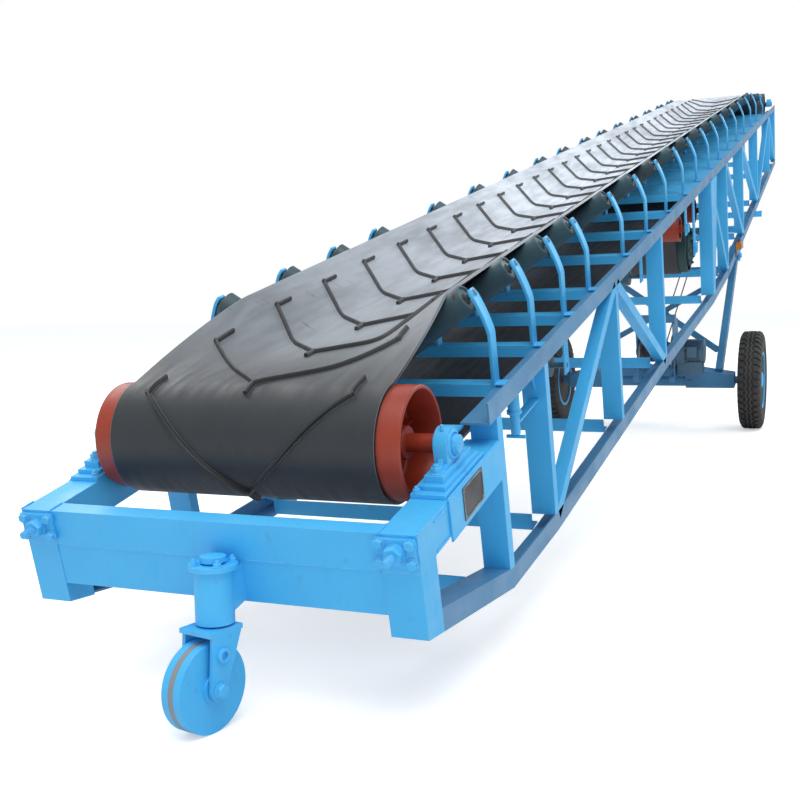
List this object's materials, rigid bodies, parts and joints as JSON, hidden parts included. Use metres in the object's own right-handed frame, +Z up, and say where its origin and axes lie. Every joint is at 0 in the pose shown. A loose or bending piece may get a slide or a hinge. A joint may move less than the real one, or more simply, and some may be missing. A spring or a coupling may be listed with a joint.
{
  "type": "mobile belt conveyor",
  "caption": "Inclined mobile belt conveyor: troughed chevron belt on a lattice frame, wheeled undercarriage with winch, and a swivelling tail wheel.",
  "frame": {"origin": "centre of the machine's footprint box, on the floor", "axes": "+Z up, +Y from the tail along the machine towards the raised head, +X across it"},
  "size_m": [1.69, 11.635, 3.3522],
  "materials": {
    "blue_paint": "gloss",
    "red_paint": "gloss",
    "green_paint": "satin",
    "roller_paint": "satin",
    "belt_rubber": "matte",
    "tyre_rubber": "matte",
    "grey_steel": "satin",
    "dark_plate": "gloss",
    "lamp_body": "gloss",
    "amber_lens": "gloss",
    "motor_paint": "satin"
  },
  "bodies": {
    "frame": {"front_beam": "blue_paint", "corner_feet": "blue_paint", "side_rails": "blue_paint", "rear_tie": "blue_paint", "take_ups": "blue_paint", "slide_plates": "blue_paint", "tail_bearings": "blue_paint", "tail_drum": "red_paint", "side_plates": "blue_paint", "nameplate": "dark_plate", "top_chords": "blue_paint", "bottom_chords": "blue_paint", "posts": "blue_paint", "diagonals": "blue_paint", "cross_ties": "blue_paint", "slats": "blue_paint", "cover_plates": "blue_paint", "belt": "belt_rubber", "idler_rollers": "roller_paint", "idler_brackets": "blue_paint", "return_rollers": "roller_paint", "return_hangers": "blue_paint", "head_drum": "roller_paint", "head_bearings": "blue_paint", "drive_drum": "green_paint", "bend_pulleys": "red_paint", "drive_brackets": "blue_paint", "drive_panels": "blue_paint", "lamp_housing": "lamp_body", "lamp_lens": "amber_lens", "cross_angle": "blue_paint", "hinge_lugs": "blue_paint", "sheave_block": "blue_paint", "rope_sheaves": "grey_steel", "caster_socket": "blue_paint"},
    "undercarriage": {"axle_beam": "blue_paint", "axle_arms": "blue_paint", "legs": "blue_paint", "leg_braces": "blue_paint", "winch_frame": "blue_paint", "winch_drum": "grey_steel", "winch_motor": "motor_paint"},
    "left_wheel": {"left_tyre": "tyre_rubber", "left_rim": "blue_paint"},
    "right_wheel": {"right_tyre": "tyre_rubber", "right_rim": "blue_paint"},
    "caster_fork": {"caster_fork": "blue_paint"},
    "caster_wheel": {"caster_wheel": "blue_paint"}
  },
  "joints": [
    {"name": "luff", "type": "hinge", "parent": "frame", "child": "undercarriage", "pos_m": [0, 1.72402, 1.34794], "axis": [1, 0, 0], "range_deg": [0, 25]},
    {"name": "left_wheel_spin", "type": "hinge", "parent": "undercarriage", "child": "left_wheel", "pos_m": [-0.761, 0.60431, 0.37], "axis": [1, 0, 0], "continuous": true},
    {"name": "right_wheel_spin", "type": "hinge", "parent": "undercarriage", "child": "right_wheel", "pos_m": [0.761, 0.60431, 0.37], "axis": [1, 0, 0], "continuous": true},
    {"name": "caster_swivel", "type": "hinge", "parent": "frame", "child": "caster_fork", "pos_m": [0.05, -5.65968, 0.2], "axis": [0, 0, 1], "continuous": true},
    {"name": "caster_wheel_spin", "type": "hinge", "parent": "caster_fork", "child": "caster_wheel", "pos_m": [0.04064, -5.70369, 0.11], "axis": [0.9781, -0.2079, 0], "continuous": true}
  ]
}
